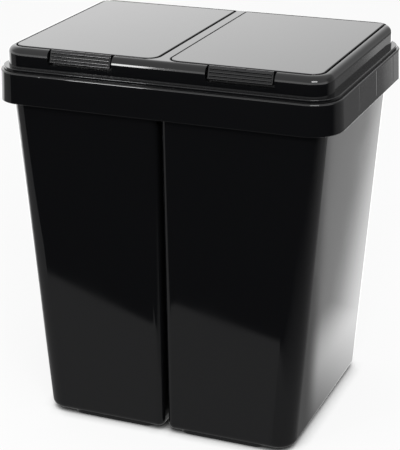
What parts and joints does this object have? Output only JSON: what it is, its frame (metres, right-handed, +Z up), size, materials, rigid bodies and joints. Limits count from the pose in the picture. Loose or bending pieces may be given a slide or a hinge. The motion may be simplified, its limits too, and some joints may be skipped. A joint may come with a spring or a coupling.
{
  "type": "double recycling bin",
  "caption": "Free-standing bin with two tapered tubs under one rim, and a lift-off lid frame with two rear-hinged flaps and front latches.",
  "frame": {"origin": "on the floor, under the middle of the bin", "axes": "+Z up, -Y towards the front with the latches, +X to the right seen from the front"},
  "size_m": [0.48, 0.338, 0.5311],
  "materials": {
    "tub": "gloss moulded polypropylene",
    "frame": "gloss moulded polypropylene",
    "flap": "gloss moulded polypropylene",
    "latch": "gloss moulded polypropylene"
  },
  "bodies": {
    "tubs": {"double_tub": "tub"},
    "frame": {"lid_frame": "frame"},
    "left_flap": {"left_flap": "flap"},
    "right_flap": {"right_flap": "flap"},
    "left_latch": {"left_latch": "latch"},
    "right_latch": {"right_latch": "latch"}
  },
  "joints": [
    {"name": "lid_lift", "type": "slide", "parent": "tubs", "child": "frame", "axis": [0, 0, 1], "range_m": [0, 0.05]},
    {"name": "left_flap_hinge", "type": "hinge", "parent": "frame", "child": "left_flap", "pos_m": [-0.11125, 0.1386, 0.5264], "axis": [-1, 0, 0], "range_deg": [0, 100]},
    {"name": "right_flap_hinge", "type": "hinge", "parent": "frame", "child": "right_flap", "pos_m": [0.11125, 0.1386, 0.5264], "axis": [-1, 0, 0], "range_deg": [0, 100]},
    {"name": "left_latch_hinge", "type": "hinge", "parent": "left_flap", "child": "left_latch", "pos_m": [-0.11125, -0.1478, 0.5282], "axis": [-1, 0, 0], "range_deg": [0, 35]},
    {"name": "right_latch_hinge", "type": "hinge", "parent": "right_flap", "child": "right_latch", "pos_m": [0.11125, -0.1478, 0.5282], "axis": [-1, 0, 0], "range_deg": [0, 35]}
  ]
}
